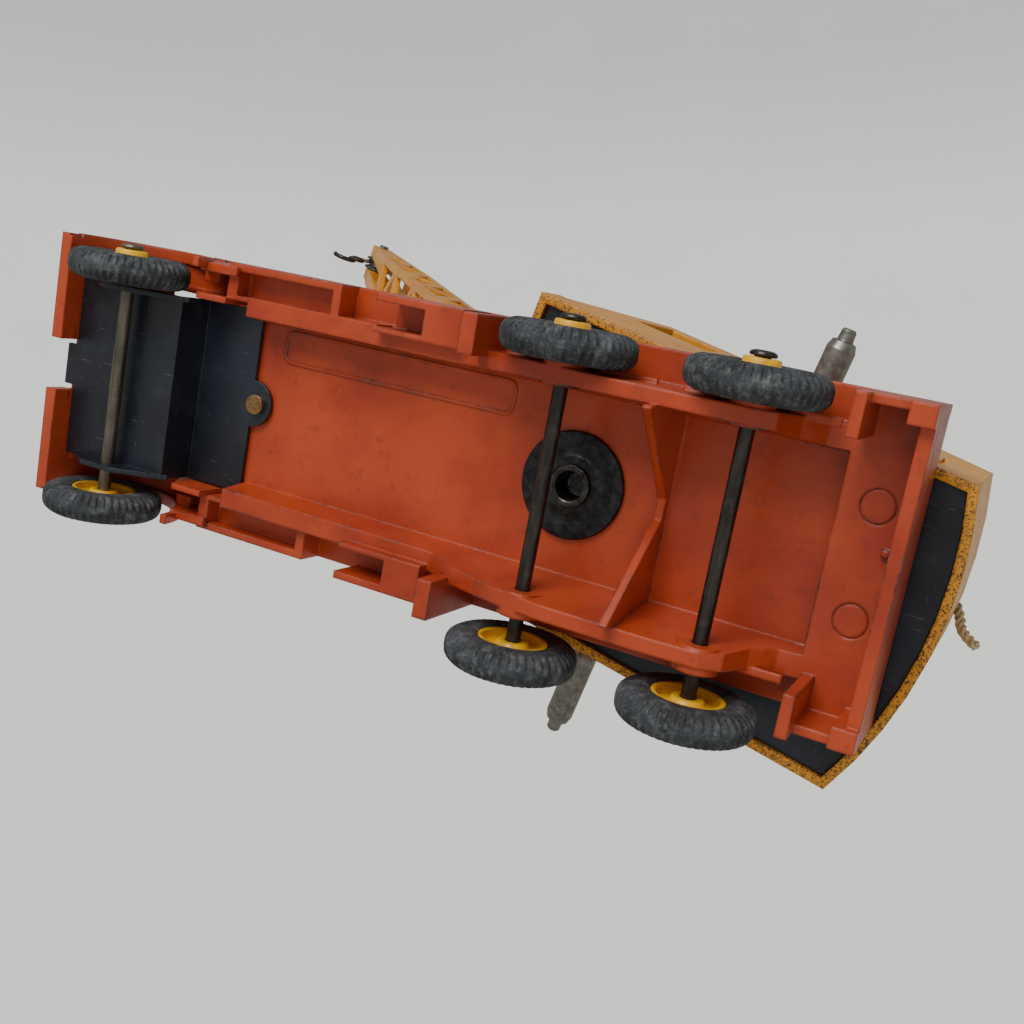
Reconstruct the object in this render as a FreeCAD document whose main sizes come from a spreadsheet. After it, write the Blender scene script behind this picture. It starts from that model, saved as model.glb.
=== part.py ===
"""Die-cast toy lorry with a slewing crane: a parametric document, one object per loose piece.

Frame: +X to the front of the lorry, +Y to its left, +Z up, millimetres.  The origin is on the
ground, under the slewing axis of the crane.  The crane stands slewed and its jib raised.
"""
import FreeCAD, Part
import math
import os
import re
import Sketcher

Vector = FreeCAD.Vector

SIZES = {
    # wheels and axles
    "tyre_radius": 10.0,
    "tyre_width": 5.0,
    "rim_radius": 5.3,
    "rim_dish": 1.9,
    "rim_proud": 0.7,
    "bore_gap": 0.08,
    "axle_radius": 1.1,
    "axle_head": 0.9,
    "axle_head_radius": 1.9,
    "end_float": 0.15,
    "side_play": 1.9,
    "front_side_play": 1.5,
    "rear_track": 46.2,
    "front_track": 40.4,
    "front_axle_x": 82.6,
    "middle_axle_x": 0.7,
    "rear_axle_x": -26.8,
    # lorry casting
    "tail_x": -50.1,
    "nose_x": 96.4,
    "body_half": 22.9,
    "deck_under": 20.2,
    "deck_top": 22.0,
    "wall": 1.5,
    "frame_half": 17.9,
    "trough_top_half": 14.0,
    "trough_foot_half": 16.4,
    "trough_rear": -39.5,
    "sill_low": 6.2,
    "sill_high": 14.2,
    "boss_radius": 3.2,
    "boss_half": 19.0,
    "rib_x": -14.6,
    "rib_thickness": 1.3,
    "tail_low": 8.4,
    "tail_floor": 16.8,
    "cab_rear_x": 63.6,
    "cab_half": 22.3,
    "roof_z": 44.0,
    "arch_radius": 12.3,
    "bumper_gap": 4.5,
    "bumper_proud": 0.7,
    # front base plate
    "tin": 0.8,
    "plate_half": 15.8,
    "plate_front_z": 12.2,
    "plate_rear_z": 19.2,
    "plate_step_x": 72.4,
    "plate_rear_x": 60.8,
    "lug_radius": 4.0,
    "flange_low": 7.2,
    # slewing joint
    "eyelet_radius": 3.3,
    "eyelet_bore": 2.2,
    "washer_radius": 8.4,
    "washer_thickness": 1.0,
    "ring_radius": 16.3,
    "ring_thickness": 2.15,
    "slew_gap": 0.15,
    "slew_rest": 12.0,
    # crane house
    "house_half": 24.3,
    "house_front_x": 18.0,
    "house_low": 23.5,
    "house_top": 60.0,
    "tail_centre_x": 10.8,
    "tail_radius": 67.2,
    "house_wall": 1.4,
    "plate_z": 24.3,
    "plate_thickness": 0.6,
    # winches
    "shaft_radius": 1.2,
    "luff_shaft_x": -26.0,
    "hoist_shaft_x": -9.0,
    "shaft_z": 41.0,
    "crank_throw": 9.0,
    "crank_thickness": 1.4,
    "grip_radius": 2.2,
    "luff_grip_end": 36.5,
    "hoist_grip_end": 42.0,
    "drum_radius": 2.6,
    "drum_flange": 5.6,
    "drum_half": 8.0,
    "shaft_gap": 0.1,
    # jib
    "jib_pivot_x": 21.4,
    "jib_pivot_z": 28.0,
    "jib_pin_radius": 1.0,
    "jib_length": 160.0,
    "jib_foot_half": 14.0,
    "jib_tip_half": 4.8,
    "jib_depth": 5.0,
    "rail": 1.8,
    "luff_rest": 49.3,
    "sheave_radius": 3.6,
    "sheave_width": 3.0,
    "cord_radius": 0.6,
    "cord_start_y": 4.8,
    "hook_drop": 4.5,
    "hook_wire": 0.6,
    "hook_bend": 2.7,
}

doc = FreeCAD.newDocument("lorry_mounted_crane")
dims = doc.addObject("Spreadsheet::Sheet", "dims")
for row, (alias, size) in enumerate(SIZES.items(), start=1):
    dims.set(f"A{row}", alias.replace("_", " "))
    dims.set(f"B{row}", str(size))
    dims.setAlias(f"B{row}", alias)
doc.recompute()

NODES = []


# --- helpers -----------------------------------------------------------------------------

def bind(text):
    """Write a formula of size names as an expression on the sheet."""
    return re.sub(r"[a-z_]+", lambda name: "dims." + name[0] if name[0] in SIZES else name[0], str(text))


def value(text):
    """The number that a formula of size names gives now."""
    return float(dims.evalExpression(bind(text)))


def keep(label, thing, pose=""):
    """Name a finished sub-part and put it where it stands."""
    thing.Label = label
    if pose:
        for letter in "xyz":
            thing.setExpression(f"Placement.Base.{letter}", None)
        thing.setExpression("Placement", bind(pose))
    NODES.append(thing)
    return thing


def block(x, y, z):
    """A box between two faces in each direction."""
    box = doc.addObject("Part::Box", "block")
    for side, letter, (low, high) in zip(("Length", "Width", "Height"), "xyz", (x, y, z)):
        box.setExpression(side, bind(f"({high}) - ({low})"))
        box.setExpression(f"Placement.Base.{letter}", bind(low))
    return box


TURNS = {
    "x": FreeCAD.Rotation(Vector(0, 1, 0), 90),
    "y": FreeCAD.Rotation(Vector(1, 0, 0), -90),
    "z": FreeCAD.Rotation(),
}


def rod(axis, radius, start, end, at):
    """A cylinder along one axis, from start to end, at its other two coordinates."""
    cylinder = doc.addObject("Part::Cylinder", "rod")
    cylinder.setExpression("Radius", bind(radius))
    cylinder.setExpression("Height", bind(f"({end}) - ({start})"))
    cylinder.Placement = FreeCAD.Placement(Vector(), TURNS[axis])
    others = iter(at)
    for letter in "xyz":
        place = start if letter == axis else next(others)
        cylinder.setExpression(f"Placement.Base.{letter}", bind(place))
    return cylinder


def fuse(pieces):
    """Join overlapping solids into one."""
    joined = doc.addObject("Part::MultiFuse", "fuse")
    joined.Shapes = pieces
    joined.Refine = False
    return joined


def cut(base, tools):
    """Take tools away from a solid."""
    result = doc.addObject("Part::Cut", "cut")
    result.Base = base
    result.Tool = tools[0] if len(tools) == 1 else fuse(tools)
    return result


def sketch_on(body, role, loops, offset="0"):
    """A sketch of closed loops of (x, y) formulas on one of the body's origin planes."""
    sketch = body.newObject("Sketcher::SketchObject", "outline")
    plane = next(f for f in body.Origin.OriginFeatures if f.Role == role)
    sketch.AttachmentSupport = [(plane, "")]
    sketch.MapMode = "FlatFace"
    sketch.setExpression("AttachmentOffset.Base.z", bind(offset))
    for loop in loops:
        first = sketch.GeometryCount
        count = len(loop)
        spots = [Vector(value(x), value(y), 0) for x, y in loop]
        for i in range(count):
            sketch.addGeometry(Part.LineSegment(spots[i], spots[(i + 1) % count]), False)
        for i in range(count):
            following = first + (i + 1) % count
            sketch.addConstraint(Sketcher.Constraint("Coincident", first + i, 2, following, 1))
        for i, (x, y) in enumerate(loop):
            for kind, formula, size in (("DistanceX", x, spots[i].x), ("DistanceY", y, spots[i].y)):
                number = sketch.addConstraint(Sketcher.Constraint(kind, -1, 1, first + i, 1, size))
                sketch.setExpression(f"Constraints[{number}]", bind(formula))
    return sketch


def new_body(name):
    return doc.addObject("PartDesign::Body", name)


def pad(body, sketch, length, symmetric=False):
    """Thicken a sketch."""
    feature = body.newObject("PartDesign::Pad", "pad")
    feature.Profile = sketch
    feature.setExpression("Length", bind(length))
    feature.SideType = 2 if symmetric else 0
    sketch.Visibility = False
    return feature


def pocket(body, sketch, length, symmetric=False, along_normal=False):
    """Cut a sketch's area out of the body, and make sure that it took something away."""
    doc.recompute()
    before = body.Shape.Volume
    feature = body.newObject("PartDesign::Pocket", "pocket")
    feature.Profile = sketch
    feature.setExpression("Length", bind(length))
    feature.SideType = 2 if symmetric else 0
    feature.Reversed = along_normal
    doc.recompute()
    if body.Shape.Volume >= before - 1e-3:
        raise RuntimeError(f"a pocket in {body.Name} cuts nothing")
    return feature


def prism(name, role, loop, length, symmetric=False, offset="0"):
    """A body that is one outline made thick."""
    body = new_body(name)
    pad(body, sketch_on(body, role, [loop], offset), length, symmetric)
    return body


def turned(name, profile):
    """A body turned about the Y axis from (radius, y) points."""
    body = new_body(name)
    sketch = sketch_on(body, "XY_Plane", [profile])
    turn = body.newObject("PartDesign::Revolution", "turn")
    turn.Profile = sketch
    turn.ReferenceAxis = (sketch, ["V_Axis"])
    turn.Angle = 360
    return body


def mirrored(y, side):
    """A pair of y formulas on the left (+1) or right (-1) side, lower one first."""
    low, high = y
    return (low, high) if side > 0 else (f"-({high})", f"-({low})")


# --- the lorry ---------------------------------------------------------------------------

def under_frame():
    """The two drafted side walls under the deck, with the trough between them."""
    sill = [
        ("trough_rear - 1.7", "deck_under + 0.6"),
        ("trough_rear - 1.7", "tail_floor"),
        ("rear_axle_x - 9.5", "tail_floor - 0.6"),
        ("rear_axle_x - 6.2", "sill_high - 0.8"),
        ("rear_axle_x - 4", "sill_low + 2.4"),
        ("rear_axle_x - 1", "sill_low + 0.4"),
        ("rear_axle_x + 6", "sill_low"),
        ("middle_axle_x - 5", "sill_low"),
        ("middle_axle_x + 3", "sill_low + 1.2"),
        ("middle_axle_x + 12", "sill_low + 4"),
        ("middle_axle_x + 18", "sill_high - 0.4"),
        ("plate_rear_x - 0.2", "sill_high"),
        ("plate_rear_x - 0.2", "deck_under + 0.6"),
    ]
    body = prism("under_frame", "XZ_Plane", sill, "2 * frame_half", symmetric=True)
    trough = [
        ("-trough_foot_half", "0"),
        ("trough_foot_half", "0"),
        ("trough_top_half", "deck_under"),
        ("-trough_top_half", "deck_under"),
    ]
    section = sketch_on(body, "YZ_Plane", [trough], "trough_rear")
    pocket(body, section, "plate_rear_x - trough_rear + 5", along_normal=True)
    return body


def rib():
    """The cross web behind the turntable, whose foot is a wide V."""
    web = [
        ("-15.6", "deck_under + 0.5"),
        ("-15.6", "sill_low - 2"),
        ("-15.2", "sill_low - 2.6"),
        ("-1.6", "deck_under - 1.6"),
        ("1.6", "deck_under - 1.6"),
        ("15.2", "sill_low - 2.6"),
        ("15.6", "sill_low - 2"),
        ("15.6", "deck_under + 0.5"),
    ]
    return prism("rib", "YZ_Plane", web, "rib_thickness", offset="rib_x - rib_thickness / 2")


def side_lockers(side):
    """Lockers, fin and mudguard plates that stand out on one side of the frame."""
    outer = ("frame_half - 1", "body_half")
    inner = ("frame_half - 0.2", "body_half - 1.2")
    tail_height = ("tail_low", "deck_top")
    corner_height = ("6.9", "deck_top")
    solids = [
        block(("43.4", "66"), mirrored(outer, side), ("15.4", "deck_under + 0.3")),
        block(("19", "34.3"), mirrored(outer, side), ("11.6", "deck_under + 0.3")),
        block(("13.2", "15.6"), mirrored(outer, side), ("5.2", "deck_under + 0.3")),
        block(("-41.8", "-40.2"), mirrored(outer, side), ("4.6", "deck_under + 0.3")),
        block(("tail_x", "-41"), mirrored(("body_half - 1.3", "body_half"), side), tail_height),
        block(("tail_x", "tail_x + 3.4"), mirrored(("body_half - 3", "body_half"), side), corner_height),
        block(("70.2", "73.6"), mirrored(("frame_half + 1", "cab_half"), side), ("18", "deck_under + 0.3")),
    ]
    hollows = [
        block(("45", "64"), mirrored(inner, side), ("15", "18.6")),
        block(("25.5", "35"), mirrored(inner, side), ("11", "18.4")),
    ]
    for start, end in (("5", "12"), ("-12", "-3"), ("-23", "-16"), ("-38", "-31")):
        ledge = mirrored(("frame_half - 0.6", "frame_half + 0.7"), side)
        solids.append(block((start, end), ledge, ("sill_high - 0.5", "sill_high + 0.1")))
    for axle in ("middle_axle_x", "rear_axle_x"):
        low, high = mirrored(("trough_foot_half - 1.2", "boss_half"), side)
        solids.append(rod("y", "boss_radius", low, high, (axle, "tyre_radius")))
    return solids, hollows


def cab_shell():
    """The forward-control cab: an open-bottomed box with windows and wheel arches."""
    outline = [
        ("cab_rear_x", "sill_high"),
        ("cab_rear_x", "roof_z - 1.4"),
        ("cab_rear_x + 1.6", "roof_z"),
        ("nose_x - 9", "roof_z"),
        ("nose_x - 6", "roof_z - 1.4"),
        ("nose_x - 2.6", "30.5"),
        ("nose_x", "29"),
        ("nose_x", "tail_low"),
        ("nose_x - 8", "tail_low"),
        ("nose_x - 26", "sill_high"),
    ]
    body = prism("cab_shell", "XZ_Plane", outline, "2 * cab_half", symmetric=True)
    hollow = [
        ("cab_rear_x - 1", "0"),
        ("cab_rear_x - 1", "deck_under"),
        ("cab_rear_x + wall", "deck_under"),
        ("cab_rear_x + wall", "roof_z - wall"),
        ("nose_x - 9.5", "roof_z - wall"),
        ("nose_x - 7.2", "roof_z - 2.4"),
        ("nose_x - 3.9", "29.6"),
        ("nose_x - wall", "28"),
        ("nose_x - wall", "0"),
    ]
    pocket(body, sketch_on(body, "XZ_Plane", [hollow]), "2 * (cab_half - wall)", symmetric=True)
    door_glass = [("76.5", "31.5"), ("76.5", "40.6"), ("nose_x - 10", "40.6"), ("nose_x - 7.2", "31.5")]
    quarter_glass = [("67.4", "31.5"), ("67.4", "40.6"), ("74", "40.6"), ("74", "31.5")]
    pocket(body, sketch_on(body, "XZ_Plane", [door_glass, quarter_glass]), "2 * cab_half + 2", symmetric=True)
    panes = [
        [(f"{low}", "32"), (f"{low}", "40.8"), (f"{high}", "40.8"), (f"{high}", "32")]
        for low, high in ((1.1, 19), (-19, -1.1))
    ]
    pocket(body, sketch_on(body, "YZ_Plane", panes, "nose_x - 8.5"), "10", along_normal=True)
    rear_panes = [
        [(f"{low}", "32"), (f"{low}", "40"), (f"{high}", "40"), (f"{high}", "32")]
        for low, high in ((3, 17), (-17, -3))
    ]
    pocket(body, sketch_on(body, "YZ_Plane", rear_panes, "cab_rear_x - 1"), "wall + 2", along_normal=True)
    return body


def cab_front():
    """Bumper halves, headlamps, grille, mudguard lips and wells, door seams and handles."""
    solids = []
    axle_centre = ("front_axle_x", "tyre_radius")
    cuts = [
        rod("y", "arch_radius", "-cab_half - 2", "cab_half + 2", axle_centre),
        block(("nose_x - 3", "nose_x + 1"), ("-bumper_gap", "bumper_gap"), ("0", "13.5")),
    ]
    for side in (1, -1):
        bumper = mirrored(("bumper_gap", "cab_half + 0.4"), side)
        solids.append(block(("nose_x - 1", "nose_x + bumper_proud"), bumper, ("tail_low", "tail_low + 4")))
        hook = mirrored(("bumper_gap", "bumper_gap + 1.6"), side)
        solids.append(block(("nose_x - 3.4", "nose_x - 0.5"), hook, ("tail_low", "tail_low + 3")))
        centre = ("16.2" if side > 0 else "-16.2", "19.6")
        solids.append(rod("x", "3", "nose_x - 1", "nose_x + 0.5", centre))
        lip = mirrored(("cab_half - 1", "body_half"), side)
        ring = rod("y", "arch_radius + 1.2", *lip, axle_centre)
        keep_up = block(("front_axle_x - 15", "nose_x"), lip, ("tyre_radius + 1", "tyre_radius + 14"))
        arch = doc.addObject("Part::Common", "arch")
        arch.Base = ring
        arch.Tool = keep_up
        solids.append(arch)
        handle = mirrored(("cab_half - 0.3", "cab_half + 0.45"), side)
        solids.append(block(("78", "80.6"), handle, ("28.3", "29")))
        well = mirrored(("plate_half + 0.3", "cab_half - 1"), side)
        solids.append(block(("cab_rear_x + 1", "nose_x - 1"), well, ("22.7", "24")))
        well_wall = mirrored(("plate_half + 0.3", "plate_half + 1.3"), side)
        solids.append(block(("cab_rear_x + 1", "nose_x - 1"), well_wall, ("plate_front_z + 1.2", "24")))
        seam = mirrored(("cab_half - 0.3", "cab_half + 1"), side)
        cuts.append(block(("75.1", "75.4"), seam, ("23.6", "roof_z - 2")))
        cuts.append(block(("nose_x - 5.6", "nose_x - 5.3"), seam, ("22.5", "31")))
    for bar in range(7):
        height = 15.6 + 1.8 * bar
        slot = (f"{height}", f"{height + 0.8}")
        cuts.append(block(("nose_x - 0.5", "nose_x + 1"), ("-10.5", "10.5"), slot))
    return solids, cuts


def tail_and_deck():
    """Deck plate, tail wall and the thick floor in front of it, with ejector marks."""
    floor_width = ("-body_half + 1", "body_half - 1")
    solids = [
        block(("tail_x", "cab_rear_x + wall"), ("-body_half", "body_half"), ("deck_under", "deck_top")),
        block(("tail_x", "tail_x + 1.8"), ("-body_half", "body_half"), ("tail_low", "deck_top")),
        block(("tail_x + 1", "trough_rear + 0.1"), floor_width, ("tail_floor", "deck_under + 0.3")),
        block(("-47.5", "-46.5"), ("1.6", "2.6"), ("tail_floor - 0.8", "tail_floor + 1")),
    ]
    cuts = []
    for y in ("8", "-8"):
        disc = rod("z", "2.5", "tail_floor - 0.5", "tail_floor + 0.25", ("-44.6", y))
        core = rod("z", "2.25", "tail_floor - 1", "tail_floor + 0.5", ("-44.6", y))
        cuts.append(cut(disc, [core]))
    for side in (1, -1):
        edge = mirrored(("body_half - 1.4", "body_half"), side)
        solids.append(block(("tail_x", "cab_rear_x"), edge, ("deck_top - 0.5", "deck_top + 0.5")))
    return solids, cuts


def cartouche():
    """A blank raised line with rounded corners on the underside of the deck."""
    loops = []
    for inset in (0.0, 0.5):
        radius = 1.5 - inset
        loop = []
        for x, y, first in ((54.5, 12.1, 0), (13.5, 12.1, 90), (13.5, 9.5, 180), (54.5, 9.5, 270)):
            for step in range(4):
                angle = math.radians(first + 30 * step)
                loop.append((f"{x + radius * math.cos(angle):.3f}", f"{y + radius * math.sin(angle):.3f}"))
        loops.append(loop)
    body = new_body("cartouche")
    pad(body, sketch_on(body, "XY_Plane", loops, "deck_under - 0.3"), "0.4")
    return body


def chassis_casting():
    """The lorry's one orange casting: deck, frame walls, lockers, tail and cab."""
    solids, cuts = tail_and_deck()
    solids += [under_frame(), rib(), cab_shell(), cartouche()]
    front_solids, front_cuts = cab_front()
    solids += front_solids
    for side in (1, -1):
        more, hollows = side_lockers(side)
        solids += more
        cuts += hollows
    cuts += front_cuts
    for axle in ("middle_axle_x", "rear_axle_x"):
        cuts.append(rod("y", "axle_radius + bore_gap", "-body_half", "body_half", (axle, "tyre_radius")))
    cuts.append(rod("z", "eyelet_bore + 0.75 + bore_gap", "deck_under - 1", "deck_top + 1", ("0", "0")))
    cuts.append(rod("z", "0.95", "deck_under - 1", "deck_top - 0.4", ("plate_rear_x - 1.2", "0")))
    keep("chassis_casting", cut(fuse(solids), cuts))


def base_plate():
    """The black tinplate under the cab that carries the front axle."""
    floor_front = block(
        ("plate_step_x", "nose_x - wall - 0.2"), ("-plate_half", "plate_half"),
        ("plate_front_z", "plate_front_z + tin"),
    )
    floor_rear = block(
        ("plate_rear_x", "plate_step_x + tin"), ("-plate_half", "plate_half"),
        ("plate_rear_z", "plate_rear_z + tin"),
    )
    riser = block(
        ("plate_step_x", "plate_step_x + tin"), ("-plate_half", "plate_half"),
        ("plate_front_z", "plate_rear_z + tin"),
    )
    lug = rod("z", "lug_radius", "plate_rear_z", "plate_rear_z + tin", ("plate_rear_x", "0"))
    tab = block(("nose_x - 4", "nose_x + 0.4"), ("-3.6", "3.6"), ("plate_front_z", "plate_front_z + tin"))
    solids = [floor_front, floor_rear, riser, lug, tab]
    ear = [
        ("front_axle_x - 11", "plate_front_z + tin"),
        ("front_axle_x - 8", "plate_front_z - 1.6"),
        ("front_axle_x - 3.4", "flange_low"),
        ("front_axle_x + 3.4", "flange_low"),
        ("front_axle_x + 8", "plate_front_z - 1.6"),
        ("front_axle_x + 11", "plate_front_z + tin"),
    ]
    for side in (1, -1):
        offset = "-plate_half" if side > 0 else "plate_half - tin"
        flange = prism("flange", "XZ_Plane", ear, "tin", offset=offset)
        solids.append(flange)
    doc.recompute()
    centre = ("front_axle_x", "tyre_radius")
    hole = rod("y", "axle_radius + bore_gap", "-plate_half - 1", "plate_half + 1", centre)
    rivet_centre = ("plate_rear_x - 1.2", "0")
    rivet_hole = rod("z", "0.95", "plate_rear_z - 1", "plate_rear_z + tin + 1", rivet_centre)
    keep("base_plate", cut(fuse(solids), [hole, rivet_hole]))


def base_plate_rivet():
    """The brass rivet through the plate's lug."""
    shank = rod("z", "0.93", "plate_rear_z - 0.3", "deck_top - 0.5", ("plate_rear_x - 1.2", "0"))
    head = rod("z", "1.7", "plate_rear_z - 0.9", "plate_rear_z", ("plate_rear_x - 1.2", "0"))
    keep("base_plate_rivet", fuse([shank, head]))


def slewing_joint():
    """Semi-tubular rivet, dished washer under the deck, and the ring between deck and crane."""
    centre = ("0", "0")
    neck = "eyelet_bore + 0.75"
    low = "deck_under - washer_thickness - 0.9"
    shoulder = "deck_under - washer_thickness"
    plate_top = "plate_z + plate_thickness + 0.1"
    shell = [
        rod("z", neck, low, f"{plate_top} + 0.2", centre),
        rod("z", "eyelet_radius", low, f"{shoulder} - 0.1", centre),
        rod("z", "eyelet_radius + 0.6", plate_top, f"{plate_top} + 0.9", centre),
    ]
    bore = rod("z", "eyelet_bore", "0", "deck_top + 1", centre)
    keep("pivot_rivet", cut(fuse(shell), [bore]))
    disc = [
        rod("z", "washer_radius", shoulder, "deck_under - 0.05", centre),
        rod("z", "washer_radius - 1.8", f"{shoulder} - 0.05", "deck_under - 0.3", centre),
    ]
    washer_bore = rod("z", f"{neck} + bore_gap", "0", "deck_top", centre)
    keep("pivot_washer", cut(fuse(disc), [washer_bore]))
    ring_low = "deck_top + slew_gap"
    ring = rod("z", "ring_radius", ring_low, f"{ring_low} + ring_thickness", centre)
    ring_bore = rod("z", f"{neck} + bore_gap", "deck_top", "house_low + 2", centre)
    keep("turntable_ring", cut(ring, [ring_bore]), SLEW)


# --- axles and wheels --------------------------------------------------------------------

def axle(label, x, track, play):
    """A steel rod with a riveted head at each end, pushed to one side by its play."""
    reach = f"({track}) / 2 + tyre_width / 2 + rim_proud + end_float"
    half = [
        ("0", f"-({reach}) - axle_head"),
        ("axle_head_radius - 0.5", f"-({reach}) - axle_head"),
        ("axle_head_radius", f"-({reach}) - 0.45"),
        ("axle_head_radius", f"-({reach})"),
        ("axle_radius", f"-({reach})"),
        ("axle_radius", f"{reach}"),
        ("axle_head_radius", f"{reach}"),
        ("axle_head_radius", f"({reach}) + 0.45"),
        ("axle_head_radius - 0.5", f"({reach}) + axle_head"),
        ("0", f"({reach}) + axle_head"),
    ]
    pose = f"placement(vector({x}; -{play}; tyre_radius); rotation(vector(0; 1; 0); 0))"
    keep(label, turned(label, half), pose)


def wheel(where, x, track, play, side):
    """A die-cast hub, whose boss stands proud of the rim, and the tyre stretched over it."""
    face = "tyre_width / 2 + rim_proud"
    bore = "axle_radius + bore_gap"
    hub = [
        (bore, "-rim_dish"),
        ("2.3", "-rim_dish"),
        ("2.6", "-rim_dish + 0.7"),
        ("rim_radius - 1", "-rim_dish + 1.1"),
        ("rim_radius - 0.7", "-tyre_width / 2 + 0.15"),
        ("rim_radius", "-tyre_width / 2 + 0.15"),
        ("rim_radius", "tyre_width / 2 - 0.1"),
        ("rim_radius - 0.4", "tyre_width / 2 + 0.05"),
        ("rim_radius - 0.9", "tyre_width / 2 - 0.1"),
        ("rim_radius - 1.2", "tyre_width / 2 - 0.7"),
        ("2.9", "tyre_width / 2 - 0.5"),
        ("2.6", f"{face} - 0.2"),
        ("2.4", face),
        (bore, face),
    ]
    tyre = [
        ("rim_radius", "-tyre_width / 2 + 0.35"),
        ("rim_radius + 1", "-tyre_width / 2"),
        ("tyre_radius - 1.6", "-tyre_width / 2"),
        ("tyre_radius - 0.35", "-tyre_width / 2 + 0.9"),
        ("tyre_radius", "-tyre_width / 2 + 2"),
        ("tyre_radius", "tyre_width / 2 - 2"),
        ("tyre_radius - 0.35", "tyre_width / 2 - 0.9"),
        ("tyre_radius - 1.6", "tyre_width / 2"),
        ("rim_radius + 1", "tyre_width / 2"),
        ("rim_radius", "tyre_width / 2 - 0.35"),
    ]
    y = f"{side} * ({track}) / 2 - {play}"
    turn = 0 if side > 0 else 180
    pose = f"placement(vector({x}; {y}; tyre_radius); rotation(vector(1; 0; 0); {turn}))"
    keep(f"hub_{where}", turned(f"hub_{where}", hub), pose)
    keep(f"tyre_{where}", turned(f"tyre_{where}", tyre), pose)


# --- the crane ---------------------------------------------------------------------------

SLEW = "placement(vector(0; 0; 0); rotation(vector(0; 0; 1); slew_rest))"


def crane_pose(x, y, z, axis="vector(0; 1; 0)", angle="0"):
    """A place in the crane's own frame, carried round by the slew."""
    return f"{SLEW} * placement(vector({x}; {y}; {z}); rotation({axis}; {angle}))"


def house_plan(inset, front):
    """The house seen from above: straight sides, and a round tail made of short chords."""
    half = f"(house_half - ({inset}))"
    radius = f"(tail_radius - ({inset}))"
    steps = 8
    loop = [(front, f"-{half}")]
    for i in range(steps + 1):
        y = f"{half} * {2 * i / steps - 1}"
        loop.append((f"tail_centre_x - sqrt({radius}^2 - ({y})^2)", y))
    loop.append((front, half))
    return loop


def crane_house():
    """The crane's yellow casting: open below, roof, sloping front and round tail."""
    body = new_body("house_shell")
    floor = sketch_on(body, "XY_Plane", [house_plan("0", "house_front_x")], "house_low")
    pad(body, floor, "house_top - house_low")
    over = "house_top + 2"
    front_cutter = [
        ("house_front_x + 1", "house_low + 7"),
        ("house_front_x + 1", over),
        ("8.4", over),
        ("8.4", "house_top"),
        ("house_front_x - 1.4", "house_low + 7"),
    ]
    tail_cutter = [
        ("-20", "house_top"),
        ("-20", over),
        ("-60", over),
        ("-60", "47"),
        ("-55.2", "47"),
        ("-52", "50.5"),
        ("-24", "house_top - 3"),
    ]
    pocket(body, sketch_on(body, "XZ_Plane", [front_cutter]), "2 * house_half + 2", symmetric=True)
    pocket(body, sketch_on(body, "XZ_Plane", [tail_cutter]), "2 * house_half + 2", symmetric=True)
    recess = house_plan("house_wall", "house_front_x - house_wall")
    section = sketch_on(body, "XY_Plane", [recess], "house_low")
    pocket(body, section, "plate_z + plate_thickness - house_low + 0.05", along_normal=True)
    inside = [
        ("-50.5", "house_low"),
        ("-50.5", "48.2"),
        ("-24.5", "house_top - 3 - house_wall"),
        ("-20.5", "house_top - house_wall"),
        ("7.2", "house_top - house_wall"),
        ("house_front_x - 1.6 - house_wall", "house_low + 6.4"),
        ("house_front_x - house_wall", "house_low"),
    ]
    cavity = sketch_on(body, "XZ_Plane", [inside])
    pocket(body, cavity, "2 * (house_half - house_wall)", symmetric=True)
    side_windows = [
        [("-4", "44"), ("-4", "56"), ("6.4", "56"), ("9", "44")],
        [("-17", "46"), ("-17", "55"), ("-7", "55"), ("-7", "46")],
    ]
    pocket(body, sketch_on(body, "XZ_Plane", side_windows), "2 * house_half + 2", symmetric=True)
    front_windows = [
        [("-21", "44"), ("-21", "56"), ("-10", "56"), ("-10", "44")],
        [("10", "44"), ("10", "56"), ("21", "56"), ("21", "44")],
        [("-6.5", "25.6"), ("-6.5", "56"), ("6.5", "56"), ("6.5", "25.6")],
    ]
    panes = sketch_on(body, "YZ_Plane", front_windows, "5")
    pocket(body, panes, "15", along_normal=True)
    louvres = [
        [(f"{x}", "30"), (f"{x}", "40"), (f"{x + 0.9}", "40"), (f"{x + 0.9}", "30")]
        for x in (-46.0 + 2.2 * step for step in range(6))
    ]
    pocket(body, sketch_on(body, "XZ_Plane", louvres, "house_half - 0.5"), "2", along_normal=True)
    pocket(body, sketch_on(body, "XZ_Plane", louvres, "-house_half + 0.5"), "2")
    doc.recompute()
    solids = [body]
    for side in (1, -1):
        low, high = mirrored(("jib_foot_half - rail - 2.1", "jib_foot_half - rail - 0.3"), side)
        height = ("jib_pivot_z - 2.2", "jib_pivot_z + 2.2")
        solids.append(block(("house_front_x - 2.6", "jib_pivot_x"), (low, high), height))
        solids.append(rod("y", "2.2", low, high, ("jib_pivot_x", "jib_pivot_z")))
        gantry = mirrored(("4.2", "5.8"), side)
        solids.append(gantry_leg(gantry))
    cuts = [
        rod("y", "jib_pin_radius + bore_gap", "-house_half", "house_half", ("jib_pivot_x", "jib_pivot_z")),
        rod("y", "shaft_radius + shaft_gap", "0", "house_half + 1", ("luff_shaft_x", "shaft_z")),
        rod("y", "shaft_radius + shaft_gap", "-house_half - 1", "0", ("hoist_shaft_x", "shaft_z")),
        rod("y", "0.8 + bore_gap", "-8", "8", ("-14", "house_top + 8.5")),
        block(("-60", "-49"), ("3.5", "8.9"), ("42.5", "45.1")),
    ]
    keep("crane_house", cut(fuse(solids), cuts), SLEW)


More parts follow.
